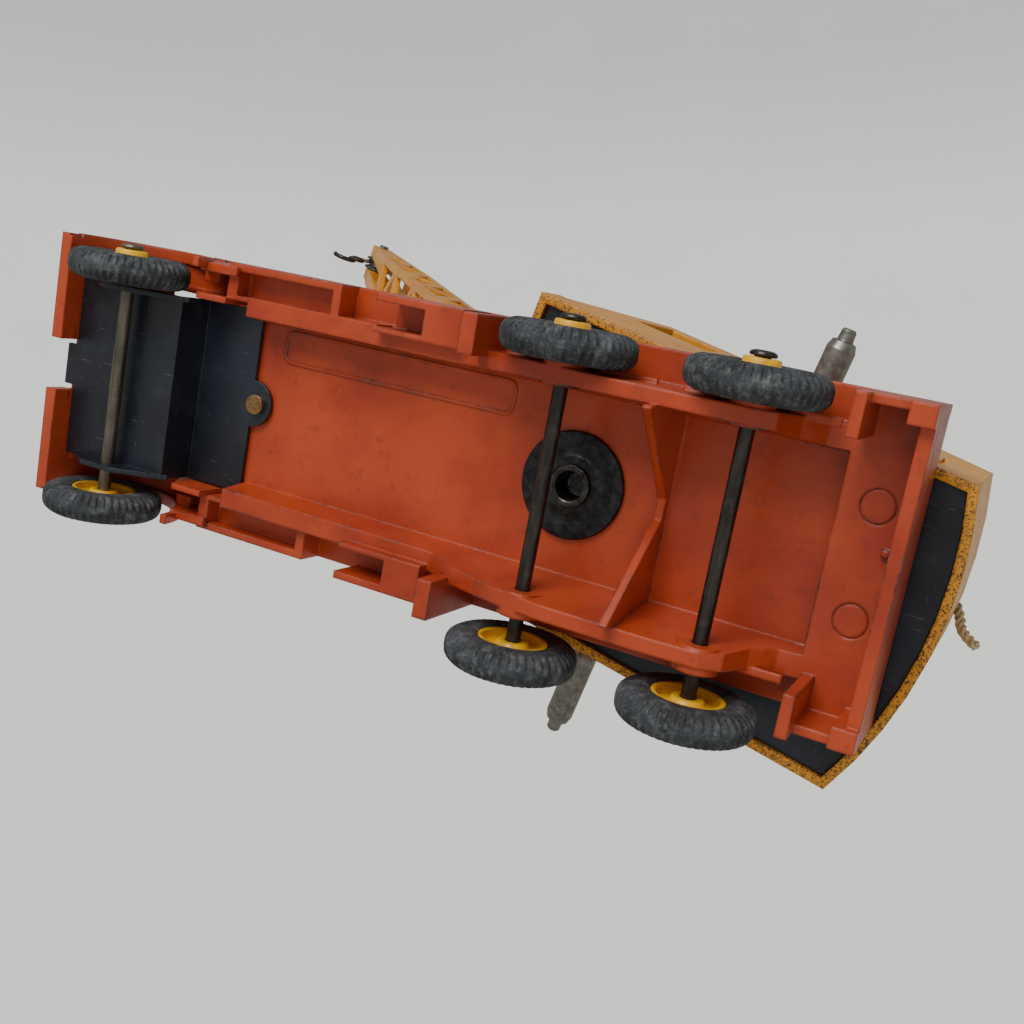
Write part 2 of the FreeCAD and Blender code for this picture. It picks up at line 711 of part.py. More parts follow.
def gantry_leg(reach):
    """One cheek of the cord guide on the roof."""
    low, high = reach
    cheek = [
        ("-21", "house_top - 1.2"),
        ("-15.8", "house_top + 9.4"),
        ("-14.6", "house_top + 10.4"),
        ("-13.4", "house_top + 10.4"),
        ("-12.2", "house_top + 9.4"),
        ("-5", "house_top - 1.2"),
    ]
    return prism("gantry_leg", "XZ_Plane", cheek, f"({high}) - ({low})", offset=f"-({high})")


def roof_sheave():
    """The cord guide's wheel and its pin."""
    wheel_profile = [
        ("0.8 + bore_gap", "-3.6"),
        ("4.6", "-3.6"),
        ("4.6", "-2.8"),
        ("3.2", "-2"),
        ("3.2", "2"),
        ("4.6", "2.8"),
        ("4.6", "3.6"),
        ("0.8 + bore_gap", "3.6"),
    ]
    pin = pin_profile("0.8", "5.9", "1.4", "0.5")
    pose = crane_pose("-14", "0", "house_top + 8.5")
    keep("roof_sheave", turned("roof_sheave", wheel_profile), pose)
    keep("roof_sheave_pin", turned("roof_sheave_pin", pin), pose)


def crane_plate():
    """The black tinplate that closes the house from below."""
    gap = "house_wall + 0.1"
    outline = house_plan(gap, f"house_front_x - ({gap})")
    body = prism("crane_plate_body", "XY_Plane", outline, "plate_thickness", offset="plate_z")
    hole = rod("z", "eyelet_bore + 0.75 + bore_gap", "plate_z - 1", "plate_z + 2", ("0", "0"))
    doc.recompute()
    keep("crane_base_plate", cut(body, [hole]), SLEW)


def winch(name, x, side, grip_end):
    """A drum on its shaft, the crank outside the house, and the crank's grip."""
    wall_face = "house_half + 0.3"
    drum = [
        ("0", "-house_half + house_wall + 0.4"),
        ("shaft_radius", "-house_half + house_wall + 0.4"),
        ("shaft_radius", "-drum_half - 1"),
        ("drum_flange", "-drum_half - 1"),
        ("drum_flange", "-drum_half"),
        ("drum_radius", "-drum_half"),
        ("drum_radius", "drum_half"),
        ("drum_flange", "drum_half"),
        ("drum_flange", "drum_half + 1"),
        ("shaft_radius", "drum_half + 1"),
        ("shaft_radius", f"{wall_face} + crank_thickness"),
        ("0", f"{wall_face} + crank_thickness"),
    ]
    turn = "0" if side > 0 else "180"
    pose = crane_pose(x, "0", "shaft_z", "vector(0; 0; 1)", turn)
    keep(f"{name}_drum", turned(f"{name}_drum", drum), pose)
    arm_y = (wall_face, f"{wall_face} + crank_thickness")
    arm = [
        rod("y", "2.6", *arm_y, ("0", "0")),
        rod("y", "2.6", *arm_y, ("0", "-crank_throw")),
        block(("-2", "2"), arm_y, ("-crank_throw", "0")),
    ]
    bores = [
        rod("y", "shaft_radius", "0", "house_half + 5", ("0", "0")),
        rod("y", "0.9", "0", "house_half + 5", ("0", "-crank_throw")),
    ]
    keep(f"{name}_crank", cut(fuse(arm), bores), pose)
    start = f"{wall_face} + crank_thickness"
    grip = [
        ("0", f"{wall_face}"),
        ("0.9", f"{wall_face}"),
        ("0.9", start),
        ("1.7", start),
        ("grip_radius", f"{start} + 1.6"),
        ("grip_radius", f"{grip_end} - 3.2"),
        ("grip_radius - 0.4", f"{grip_end} - 2"),
        ("1.2", f"{grip_end} - 1.8"),
        ("1.1", f"{grip_end} - 0.3"),
        ("0.8", grip_end),
        ("0", grip_end),
    ]
    low_pose = f"{pose} * placement(vector(0; 0; -crank_throw); rotation(vector(0; 1; 0); 0))"
    keep(f"{name}_grip", turned(f"{name}_grip", grip), low_pose)


# --- the jib -----------------------------------------------------------------------------

JIB = f"{SLEW} * placement(vector(jib_pivot_x; 0; jib_pivot_z); rotation(vector(0; 1; 0); -luff_rest))"
TAPER = "(jib_foot_half - jib_tip_half) / jib_length"


def half_width(x):
    """Half of the jib's width at a distance from its pivot."""
    return f"(jib_foot_half - ({x}) * {TAPER})"


def jib_frame():
    """The yellow lattice casting: two rails that close towards the head."""
    body = new_body("jib_body")
    plan = [
        ("-2.2", half_width("0")),
        ("jib_length + 3", half_width("jib_length")),
        ("jib_length + 3", "-" + half_width("jib_length")),
        ("-2.2", "-" + half_width("0")),
    ]
    pad(body, sketch_on(body, "XY_Plane", [plan]), "2 * jib_depth", symmetric=True)
    above = [
        ("-3", "2.2"),
        ("3", "2.2"),
        ("34", "jib_depth"),
        ("108", "jib_depth"),
        ("jib_length - 2", "2.6"),
        ("jib_length + 4", "2.6"),
        ("jib_length + 4", "jib_depth + 1"),
        ("-3", "jib_depth + 1"),
    ]
    below = [(x, f"-({z})") for x, z in above]
    pocket(body, sketch_on(body, "XZ_Plane", [above, below]), "2 * jib_foot_half + 2", symmetric=True)
    pocket(body, sketch_on(body, "XY_Plane", plan_openings()), "2 * jib_depth + 2", symmetric=True)
    pocket(body, sketch_on(body, "XZ_Plane", side_openings()), "2 * jib_foot_half + 2", symmetric=True)
    cuts = [
        rod("y", "jib_pin_radius + bore_gap", "-20", "20", ("0", "0")),
        rod("y", "0.8", "-8", "8", ("jib_length", "0")),
    ]
    doc.recompute()
    keep("jib_frame", cut(body, cuts + [jib_hollow()]), JIB)


def jib_hollow():
    """The space inside the lattice, through which the hoisting cord runs."""
    plan = [
        ("24", f"({half_width('24')} - rail)"),
        ("jib_length - 8", f"({half_width('jib_length - 8')} - rail)"),
        ("jib_length - 8", f"-({half_width('jib_length - 8')} - rail)"),
        ("24", f"-({half_width('24')} - rail)"),
    ]
    skin = "1.3"
    side = [
        ("20", f"jib_depth - 1 - {skin}"),
        ("36", f"jib_depth - {skin}"),
        ("108", f"jib_depth - {skin}"),
        ("jib_length", f"2.6 - {skin}"),
        ("jib_length", f"{skin} - 2.6"),
        ("108", f"{skin} - jib_depth"),
        ("36", f"{skin} - jib_depth"),
        ("20", f"{skin} + 1 - jib_depth"),
    ]
    hollow = doc.addObject("Part::Common", "hollow")
    hollow.Base = prism("hollow_plan", "XY_Plane", plan, "2 * jib_depth", symmetric=True)
    hollow.Tool = prism("hollow_side", "XZ_Plane", side, "2 * jib_foot_half", symmetric=True)
    doc.recompute()
    return hollow


def plan_openings():
    """Open foot, triangles between the diagonal braces, and the slot for the head sheave."""
    inner = "- rail)"
    foot_end = "26"
    foot = [
        ("-3", f"({half_width('-3')} {inner}"),
        (foot_end, f"({half_width(foot_end)} {inner}"),
        (foot_end, f"-({half_width(foot_end)} {inner}"),
        ("-3", f"-({half_width('-3')} {inner}"),
    ]
    loops = [foot]
    start = 28.4
    bays = 7
    pitch = 13.9
    brace = 2.0
    for bay in range(bays):
        low = start + bay * pitch
        high = low + pitch - brace
        side = 1 if bay % 2 else -1
        near = f"({half_width(low)} {inner} * {side}"
        far_low = f"({half_width(low)} {inner} * {-side}"
        far_high = f"({half_width(high)} {inner} * {-side}"
        loops.append([(f"{low}", near), (f"{low}", far_low), (f"{high}", far_high)])
        near_high = f"({half_width(high + brace)} {inner} * {side}"
        near_low = f"({half_width(low + brace + 1.5)} {inner} * {side}"
        far = f"({half_width(high + brace)} {inner} * {-side} + {side} * 2.2"
        end = f"{high + brace}"
        loops.append([(f"{low + brace + 1.5}", near_low), (end, near_high), (end, far)])
    head = [
        ("jib_length - 33.5", "-sheave_width / 2 - 0.25"),
        ("jib_length - 33.5", "sheave_width / 2 + 0.25"),
        ("jib_length + 4", "sheave_width / 2 + 0.25"),
        ("jib_length + 4", "-sheave_width / 2 - 0.25"),
    ]
    return loops + [head]


def side_openings():
    """Triangles through the two rails, between their top and bottom booms."""
    loops = []
    start = 30.0
    bays = 10
    pitch = 10.6
    brace = 1.7
    boom = "(jib_depth - 1.7)"
    for bay in range(bays):
        low = start + bay * pitch
        high = low + pitch
        side = 1 if bay % 2 else -1
        shrink = max(0.0, (low - 100) * 0.035)
        reach = f"({boom} - {shrink:.2f})"
        loops.append([
            (f"{low + brace}", f"{reach} * {side}"),
            (f"{high - 0.2}", f"{reach} * {side}"),
            (f"{high - 0.2}", f"-{reach} * {side} + {side} * {brace + 0.4}"),
        ])
        loops.append([
            (f"{low}", f"-{reach} * {side}"),
            (f"{low}", f"{reach} * {side} - {side} * {brace + 0.4}"),
            (f"{high - brace - 0.2}", f"-{reach} * {side}"),
        ])
    return loops


def pin_profile(radius, end, head_radius, head):
    """Half the outline of a pin with a flat head at each end."""
    return [
        ("0", f"-({end}) - {head}"),
        (head_radius, f"-({end}) - {head}"),
        (head_radius, f"-({end})"),
        (radius, f"-({end})"),
        (radius, end),
        (head_radius, end),
        (head_radius, f"{end} + {head}"),
        ("0", f"{end} + {head}"),
    ]


def jib_pins():
    """The long pin at the foot, and the pin and sheave at the head."""
    foot = pin_profile("jib_pin_radius", "jib_foot_half + 0.9", "1.7", "0.6")
    keep("jib_pin", turned("jib_pin", foot), crane_pose("jib_pivot_x", "0", "jib_pivot_z"))
    head = pin_profile("0.75", "jib_tip_half + 0.4", "1.3", "0.5")
    head_pose = f"{JIB} * placement(vector(jib_length; 0; 0); rotation(vector(0; 1; 0); 0))"
    keep("head_pin", turned("head_pin", head), head_pose)
    half = "sheave_width / 2"
    sheave = [
        ("0.75 + bore_gap", f"-{half}"),
        ("sheave_radius", f"-{half}"),
        ("sheave_radius", f"-{half} + 0.4"),
        ("sheave_radius - 1.2", "-0.5"),
        ("sheave_radius - 1.2", "0.5"),
        ("sheave_radius", f"{half} - 0.4"),
        ("sheave_radius", half),
        ("0.75 + bore_gap", half),
    ]
    keep("head_sheave", turned("head_sheave", sheave), head_pose)


# --- cords and hook ----------------------------------------------------------------------

GROOVE = "(sheave_radius - 1.2 + cord_radius)"
UNDER_PIN = "(jib_pin_radius + cord_radius)"
DRUM_TOP = "shaft_z + drum_radius + cord_radius"


def straight_run(start, end):
    """A taut stretch of cord between two (x, z) points in the plane y = 0."""
    along = f"(({end[0]}) - ({start[0]}))"
    rise = f"(({end[1]}) - ({start[1]}))"
    run = doc.addObject("Part::Cylinder", "run")
    run.setExpression("Radius", bind("cord_radius"))
    run.setExpression("Height", bind(f"sqrt({along}^2 + {rise}^2)"))
    turn = f"90deg - atan({rise} / {along})"
    pose = f"placement(vector({start[0]}; 0; {start[1]}); rotation(vector(0; 1; 0); {turn}))"
    return run, pose


def hoist_cord():
    """The hoisting cord: drum to jib foot, along the jib to the head sheave, down to the hook."""
    drum_side = ("hoist_shaft_x", "shaft_z - drum_radius - cord_radius")
    pin_side = ("jib_pivot_x - 1", f"jib_pivot_z - {UNDER_PIN} + 0.2")
    run, pose = straight_run(drum_side, pin_side)
    keep("hoist_cord_house", run, f"{SLEW} * {pose}")
    run, pose = straight_run(("1.2", f"-{UNDER_PIN}"), ("jib_length - 0.4", GROOVE))
    keep("hoist_cord_jib", run, f"{JIB} * {pose}")
    fall = rod("z", "cord_radius", "-hook_drop", "0", (GROOVE, "0"))
    below = f"placement(vector({GROOVE}; 0; -hook_drop); rotation(vector(0; 0; 1); 0))"
    keep("hoist_cord_fall", fall, f"{HEAD} * {below}")


HEAD = (
    f"{SLEW} * placement(vector(jib_pivot_x + jib_length * cos(luff_rest); 0; "
    "jib_pivot_z + jib_length * sin(luff_rest)); rotation(vector(0; 0; 1); 0))"
)


def hook():
    """A wire hook: an eye, a shank and an open bend, hanging under the head sheave."""
    eye_radius = 1.3
    eye_z = f"-hook_drop - {eye_radius} - hook_wire"
    shank_end = f"{eye_z} - {eye_radius} - 2.6"
    eye = doc.addObject("Part::Torus", "eye")
    eye.Radius1 = eye_radius
    eye.setExpression("Radius2", bind("hook_wire"))
    eye.Placement.Rotation = TURNS["y"]
    eye.setExpression("Placement.Base.x", bind(GROOVE))
    eye.setExpression("Placement.Base.z", bind(eye_z))
    shank = rod("z", "hook_wire", shank_end, f"{eye_z} - {eye_radius} + 0.1", (GROOVE, "0"))
    bend = doc.addObject("Part::Torus", "bend")
    bend.setExpression("Radius1", bind("hook_bend"))
    bend.setExpression("Radius2", bind("hook_wire"))
    bend.Angle3 = 250
    bend.Placement.Rotation = FreeCAD.Rotation(Vector(1, 0, 0), 90)
    bend.setExpression("Placement.Base.x", bind(f"{GROOVE}"))
    bend.setExpression("Placement.Base.z", bind(f"{shank_end} - hook_bend"))
    bend.setExpression(
        "Placement.Rotation",
        bind("rotation(vector(1; 0; 0); 90) * rotation(vector(0; 0; 1); 90)"),
    )
    tip = doc.addObject("Part::Sphere", "tip")
    tip.setExpression("Radius", bind("hook_wire"))
    tip.setExpression("Placement.Base.x", bind(f"{GROOVE} + hook_bend * cos(340)"))
    tip.setExpression("Placement.Base.z", bind(f"{shank_end} - hook_bend + hook_bend * sin(340)"))
    keep("hook", fuse([eye, shank, bend, tip]), HEAD)


def luffing_cord():
    """What is left of the luffing cord: slack from its drum to the tail, and the loose end."""
    top = value(DRUM_TOP)
    route = [
        Vector(value("luff_shaft_x"), value("cord_start_y"), top),
        Vector(-33.0, 6.0, top + 0.1),
        Vector(-41.5, 7.6, top - 0.3),
        Vector(-49.0, 8.2, top + 0.1),
        Vector(-54.3, 6.1, top - 0.1),
        Vector(-57.2, 3.7, top - 1.2),
        Vector(-58.5, 1.5, top - 3.1),
        Vector(-61.3, 1.1, top - 4.65),
    ]
    tube = doc.addObject("Part::Feature", "luff_cord")
    tube.Shape = round_tube(route, value("cord_radius"))
    keep("luff_cord", tube, SLEW)


def round_tube(route, radius):
    """A tube along straight runs that large tangent arcs join; prints each arc's radius."""
    edges = []
    start = route[0]
    for before, corner, after in zip(route, route[1:], route[2:]):
        back = (before - corner).normalize()
        ahead = (after - corner).normalize()
        turn = math.pi - back.getAngle(ahead)
        shorter = min((before - corner).Length, (after - corner).Length)
        arc_radius = 0.45 * shorter / math.tan(turn / 2)
        reach = 0.45 * shorter
        middle = (back + ahead).normalize() * (arc_radius / math.cos(turn / 2) - arc_radius)
        into = corner + back * reach
        out = corner + ahead * reach
        edges.append(Part.LineSegment(start, into).toShape())
        edges.append(Part.Arc(into, corner + middle, out).toShape())
        print(f"luff cord: turn {math.degrees(turn):.0f} deg, arc radius {arc_radius:.1f} mm")
        start = out
    edges.append(Part.LineSegment(start, route[-1]).toShape())
    path = Part.Wire(edges)
    ring = Part.Wire(Part.makeCircle(radius, route[0], route[1] - route[0]))
    tube = path.makePipeShell([ring], True, True)
    expected = math.pi * radius**2 * path.Length
    print(f"luff cord: length {path.Length:.2f} mm, volume {tube.Volume:.2f} of {expected:.2f} mm3")
    return tube


def chassis_order():
    chassis_casting()
    base_plate()
    base_plate_rivet()
    slewing_joint()
    for row_name, track, play in (
        ("front", "front_track", "front_side_play"),
        ("middle", "rear_track", "side_play"),
        ("rear", "rear_track", "side_play"),
    ):
        x = f"{row_name}_axle_x"
        axle(f"{row_name}_axle", x, track, play)
        for side_name, side in (("left", 1), ("right", -1)):
            wheel(f"{row_name}_{side_name}", x, track, play, side)


def crane_order():
    crane_house()
    roof_sheave()
    crane_plate()
    winch("luff", "luff_shaft_x", 1, "luff_grip_end")
    winch("hoist", "hoist_shaft_x", -1, "hoist_grip_end")
    jib_frame()
    jib_pins()
    hoist_cord()
    hook()
    luffing_cord()


def check_and_write():
    """Stop on anything broken, then write one STEP file per sub-part."""
    doc.recompute()
    broken = [o.Name for o in doc.Objects if {"Invalid", "Error"} & set(o.State)]
    if broken:
        raise RuntimeError(f"failed objects: {broken}")
    os.makedirs("parts", exist_ok=True)
    for thing in NODES:
        shape = thing.Shape
        if shape.isNull() or not shape.isValid():
            raise RuntimeError(f"{thing.Label} has no valid shape")
        shape.exportStep(f"parts/{thing.Label}.step")
        print(f"{thing.Label:20s} {shape.Volume:10.1f} mm3 {len(shape.Solids)} solid(s)")


chassis_order()
crane_order()
check_and_write()
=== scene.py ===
"""Visual model of the die-cast toy lorry with a slewing crane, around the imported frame.

Row frame in metres: +X to the front of the lorry, +Y to its left, +Z up, origin on the ground
under the slewing axis.
"""
import math
import random

import bmesh
import bpy
from mathutils import Matrix, Vector


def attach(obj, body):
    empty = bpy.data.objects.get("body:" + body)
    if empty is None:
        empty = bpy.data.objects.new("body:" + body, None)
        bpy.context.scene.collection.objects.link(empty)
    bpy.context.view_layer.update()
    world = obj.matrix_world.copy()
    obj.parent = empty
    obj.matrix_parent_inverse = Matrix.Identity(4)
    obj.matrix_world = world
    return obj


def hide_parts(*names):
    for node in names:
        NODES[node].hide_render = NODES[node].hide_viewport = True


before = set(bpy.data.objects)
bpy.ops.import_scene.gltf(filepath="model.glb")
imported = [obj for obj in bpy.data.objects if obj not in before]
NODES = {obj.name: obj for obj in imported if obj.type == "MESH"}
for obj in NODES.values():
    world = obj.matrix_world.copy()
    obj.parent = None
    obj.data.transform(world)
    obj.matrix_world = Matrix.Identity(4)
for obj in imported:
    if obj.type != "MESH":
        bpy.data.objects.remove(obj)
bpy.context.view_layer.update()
MM = 0.001

# --- camera --------------------------------------------------------------------------------

CAMERA_AT = Vector((-64.77, 27.78, -144.42)) * MM
LOOK = Vector((0.40264, -0.18684, 0.89609)).normalized()
CAMERA_UP = Vector((0.24202, 0.96584, 0.09263))
SENSOR_WIDTH = 36
LENS = 41.385
SEEN_FROM = 0.005
SEEN_TO = 20


def add_camera():
    """The camera that sees the toy from below."""
    right = LOOK.cross(CAMERA_UP).normalized()
    up = right.cross(LOOK)
    turn = Matrix((right, up, -LOOK)).transposed().to_4x4()
    data = bpy.data.cameras.new("camera")
    data.sensor_width = SENSOR_WIDTH
    data.lens = LENS
    data.clip_start = SEEN_FROM
    data.clip_end = SEEN_TO
    camera = bpy.data.objects.new("camera", data)
    camera.matrix_world = Matrix.Translation(CAMERA_AT) @ turn
    bpy.context.scene.collection.objects.link(camera)
    bpy.context.scene.camera = camera


add_camera()


# --- node helpers --------------------------------------------------------------------------

MIX_INPUTS = (0, 6, 7)
MIX_OUTPUT = 2


class Nodes:
    """A node tree under construction."""

    def __init__(self, tree):
        self.tree = tree
        self.tree.nodes.clear()

    def add(self, kind, inputs=None, **settings):
        """Add a node, make its settings, then feed its inputs."""
        node = self.tree.nodes.new(kind)
        for key, setting in settings.items():
            setattr(node, key, setting)
        for key, source in (inputs or {}).items():
            self.feed(node.inputs[key], source)
        return node

    def feed(self, socket, source):
        """Link a socket to another node's output, or set its own constant."""
        if isinstance(source, bpy.types.NodeSocket):
            self.tree.links.new(source, socket)
        else:
            socket.default_value = source

    def mix(self, factor, a, b, **settings):
        """Blend two colours."""
        inputs = dict(zip(MIX_INPUTS, (factor, a, b)))
        return self.add("ShaderNodeMix", inputs, data_type="RGBA", **settings).outputs[MIX_OUTPUT]


class Shader(Nodes):
    """A material under construction; most methods add nodes and return an output."""

    def __init__(self, name):
        self.material = bpy.data.materials.new(name)
        self.material.use_nodes = True
        super().__init__(self.material.node_tree)
        self.out = self.add("ShaderNodeOutputMaterial")
        self.place = self.add("ShaderNodeTexCoord").outputs["Object"]

    def stretched(self, scale):
        """The object's own coordinates, scaled differently in each direction."""
        return self.add("ShaderNodeMapping", {"Vector": self.place, "Scale": scale}).outputs[0]

    def noise(self, scale, detail=4.0, rough=0.55, twist=0.0, where=None):
        """Noise; scale is in cells per metre."""
        inputs = {"Scale": scale, "Detail": detail, "Roughness": rough, "Distortion": twist}
        inputs["Vector"] = where or self.place
        return self.add("ShaderNodeTexNoise", inputs).outputs["Fac"]

    def cells(self, scale):
        """Distance to the nearest of scattered points; scale is in cells per metre."""
        inputs = {"Scale": scale, "Vector": self.place}
        return self.add("ShaderNodeTexVoronoi", inputs).outputs["Distance"]

    def ramp(self, source, low, high, to_low=0.0, to_high=1.0):
        """Map low..high to to_low..to_high, smoothly and clamped."""
        inputs = {"Value": source, "From Min": low, "From Max": high}
        inputs.update({"To Min": to_low, "To Max": to_high})
        return self.add("ShaderNodeMapRange", inputs, interpolation_type="SMOOTHSTEP").outputs[0]

    def math(self, operation, a, b):
        """Arithmetic on two values, clamped to 0 to 1."""
        return self.add("ShaderNodeMath", {0: a, 1: b}, operation=operation, use_clamp=True).outputs[0]

    def times(self, a, b):
        return self.math("MULTIPLY", a, b)

    def edges(self, radius, low, high):
        """How close a point is to a sharp edge, 0 to 1, and the rounded normal."""
        soft = self.add("ShaderNodeBevel", {"Radius": radius}, samples=6).outputs[0]
        flat = self.add("ShaderNodeNewGeometry").outputs["Normal"]
        same = self.add("ShaderNodeVectorMath", {0: soft, 1: flat}, operation="DOT_PRODUCT")
        off = self.math("SUBTRACT", 1.0, same.outputs["Value"])
        return self.ramp(off, low, high), soft

    def axis(self, letter):
        """One coordinate of the place, in metres."""
        return self.add("ShaderNodeSeparateXYZ", {0: self.place}).outputs["XYZ".index(letter)]

    def bump(self, height, strength, distance, normal=None):
        """A normal bent by a height; distance is in metres."""
        inputs = {"Height": height, "Strength": strength, "Distance": distance}
        if normal:
            inputs["Normal"] = normal
        return self.add("ShaderNodeBump", inputs).outputs[0]

    def finish(self, colour, rough, metal=0.0, normal=None, **constants):
        """The surface shader; constants are numbers on its own sockets."""
        inputs = {"Base Color": colour, "Roughness": rough, "Metallic": metal}
        surface = self.add("ShaderNodeBsdfPrincipled", inputs)
        if normal:
            self.feed(surface.inputs["Normal"], normal)
        for key, setting in constants.items():
            surface.inputs[key.replace("_", " ")].default_value = setting
        self.feed(self.out.inputs[0], surface.outputs[0])
        return self.material


def rgb(red, green, blue):
    """A colour given as the screen shows it, made linear."""
    def linear(part):
        part /= 255
        return part / 12.92 if part <= 0.04045 else ((part + 0.055) / 1.055) ** 2.4
    return (linear(red), linear(green), linear(blue), 1.0)


HANDLING_DIRT = rgb(62, 38, 26)
DARK_SPECK = rgb(48, 34, 28)
OLD_ALLOY = rgb(58, 50, 45)
PIT = rgb(24, 22, 20)
RUBBED_METAL = rgb(196, 192, 186)


# --- materials -----------------------------------------------------------------------------

def enamel(name, body, deep, pale, bare, chips, rim=None, grime=0.35):
    """Stoved enamel on a casting: colour drift, orange peel, chips on edges, handling grime.

    chips is how much of the edges is bare; rim is (letter, from, to, amount) for a border that
    is worn more, such as the lowest millimetres.
    """
    s = Shader(name)
    near, soft = s.edges(0.0006, 0.015, 0.2)
    drift = s.noise(55, 3)
    colour = s.mix(s.ramp(drift, 0.35, 0.7), body, deep)
    rubbed = s.ramp(s.noise(160, 5, 0.6), 0.5, 0.8)
    colour = s.mix(s.times(s.times(near, rubbed), 0.75), colour, pale)
    dirt = s.times(s.ramp(s.noise(420, 6, 0.7), 0.52, 0.75), grime)
    colour = s.mix(dirt, colour, HANDLING_DIRT)
    specks = s.ramp(s.cells(900), 0.16, 0.1)
    patches = s.ramp(s.noise(70, 4, 0.6), 0.56, 0.66)
    colour = s.mix(s.times(s.times(specks, patches), 0.8), colour, DARK_SPECK)
    grains = s.ramp(s.noise(2600, 2, 0.6), 0.62, 0.72)
    colour = s.mix(s.times(grains, 0.28), colour, deep)
    dust = s.ramp(s.noise(1900, 3, 0.7, 0.4), 0.64, 0.74)
    colour = s.mix(s.times(dust, 0.22), colour, pale)
    ragged = s.noise(950, 6, 0.72)
    places = s.ramp(s.noise(110, 4, 0.65), 0.7 - chips * 0.25, 0.8 - chips * 0.25)
    bare_mask = s.times(s.times(near, places), s.ramp(ragged, 0.42, 0.5))
    if rim:
        letter, start, end, amount = rim
        band = s.ramp(s.axis(letter), start, end)
        coarse = s.ramp(s.noise(3000, 6, 0.8), 0.62 - amount * 0.2, 0.67 - amount * 0.2)
        worn = s.times(band, coarse)
        bare_mask = s.math("MAXIMUM", bare_mask, worn)
    metal_tint = s.mix(s.ramp(s.noise(700, 4), 0.35, 0.65), bare, OLD_ALLOY)
    colour = s.mix(bare_mask, colour, metal_tint)
    rough = s.ramp(s.noise(230, 5, 0.6), 0.3, 0.8, 0.3, 0.5)
    rough = s.math("MAXIMUM", rough, s.times(bare_mask, 0.5))
    rough = s.math("MAXIMUM", rough, s.times(dirt, 1.3))
    peel = s.noise(330, 3, 0.5)
    grit = s.noise(1500, 3, 0.6)
    relief = s.math("ADD", s.times(peel, 0.7), s.times(grit, 0.2))
    relief = s.math("SUBTRACT", relief, s.times(bare_mask, 0.2))
    normal = s.bump(relief, 0.42, 0.00022, soft)
    metal = s.times(bare_mask, 0.55)
    return s.finish(
        colour, rough, metal, normal, Coat_Weight=0.12, Coat_Roughness=0.28, Specular_IOR_Level=0.42,
    )


def tinplate():
    """Blue-black lacquered tinplate: bare bright cut edges, scratches and a dusty bloom."""
    s = Shader("black_tinplate")
    near, soft = s.edges(0.00025, 0.03, 0.2)
    colour = s.mix(s.ramp(s.noise(60, 4), 0.35, 0.7), rgb(20, 22, 30), rgb(30, 35, 46))
    bloom = s.ramp(s.noise(190, 6, 0.65), 0.5, 0.85)
    colour = s.mix(s.times(bloom, 0.22), colour, rgb(80, 84, 94))
    lines = s.ramp(s.noise(260, 2, 0.5, 0, s.stretched((1, 14, 14))), 0.7, 0.74)
    other = s.ramp(s.noise(300, 2, 0.5, 0, s.stretched((16, 1.4, 9))), 0.72, 0.76)
    scratch = s.times(s.math("MAXIMUM", lines, other), 0.35)
    colour = s.mix(scratch, colour, rgb(120, 118, 116))
    worn = s.times(near, s.ramp(s.noise(420, 5, 0.7), 0.4, 0.56))
    colour = s.mix(s.times(worn, 0.55), colour, rgb(112, 108, 104))
    rough = s.ramp(s.noise(140, 5, 0.6), 0.3, 0.75, 0.3, 0.5)
    rough = s.math("MAXIMUM", rough, s.times(bloom, 0.55))
    relief = s.math("ADD", s.times(s.noise(500, 3), 0.5), s.times(s.noise(80, 2), 0.5))
    normal = s.bump(relief, 0.25, 0.00018, soft)
    return s.finish(colour, rough, s.times(worn, 0.8), normal, Coat_Weight=0.15, Coat_Roughness=0.3)


def metal(name, light, dark, rust, rough_low=0.28, rough_high=0.55, along=(1, 1, 1), stain=0.35):
    """Bare tarnished metal with drawing marks, stains and rubbed edges."""
    s = Shader(name)
    near, soft = s.edges(0.0002, 0.03, 0.25)
    grain = s.noise(900, 4, 0.6, 0, s.stretched(along))
    colour = s.mix(s.ramp(grain, 0.3, 0.7), light, dark)
    spots = s.times(s.ramp(s.noise(520, 6, 0.7), 0.52, 0.66), stain)
    colour = s.mix(spots, colour, rust)
    pits = s.times(s.ramp(s.cells(1500), 0.22, 0.12), s.ramp(s.noise(200, 3), 0.5, 0.6))
    colour = s.mix(s.times(pits, 0.6), colour, PIT)
    bright = s.times(near, s.ramp(s.noise(600, 4), 0.42, 0.6))
    colour = s.mix(s.times(bright, 0.7), colour, RUBBED_METAL)
    rough = s.ramp(s.noise(330, 5, 0.65), 0.3, 0.75, rough_low, rough_high)
    relief = s.math("SUBTRACT", s.times(grain, 0.6), s.times(pits, 0.4))
    normal = s.bump(relief, 0.3, 0.00012, soft)
    return s.finish(colour, rough, s.ramp(spots, 0.0, 0.5, 0.9, 0.45), normal)


def rubber():
    """Dusty moulded rubber: dark body, grey dust on what stands out, scuffs round the tread."""
    s = Shader("tyre_rubber")
    near, soft = s.edges(0.0003, 0.01, 0.25)
    colour = s.mix(s.ramp(s.noise(240, 4), 0.35, 0.7), rgb(42, 44, 47), rgb(62, 65, 68))
    dust = s.ramp(s.noise(520, 7, 0.72), 0.46, 0.72)
    colour = s.mix(s.times(dust, 0.55), colour, rgb(122, 124, 124))
    colour = s.mix(s.times(near, 0.35), colour, rgb(112, 114, 114))
    specks = s.ramp(s.cells(1700), 0.2, 0.1)
    colour = s.mix(s.times(specks, 0.3), colour, rgb(160, 158, 150))
    rough = s.ramp(s.noise(600, 4), 0.3, 0.7, 0.62, 0.9)
    relief = s.math("ADD", s.times(s.noise(1600, 5, 0.7), 0.6), s.times(s.noise(260, 3), 0.4))
    normal = s.bump(relief, 0.6, 0.00022, soft)
    return s.finish(colour, rough, 0.0, normal, Specular_IOR_Level=0.35)


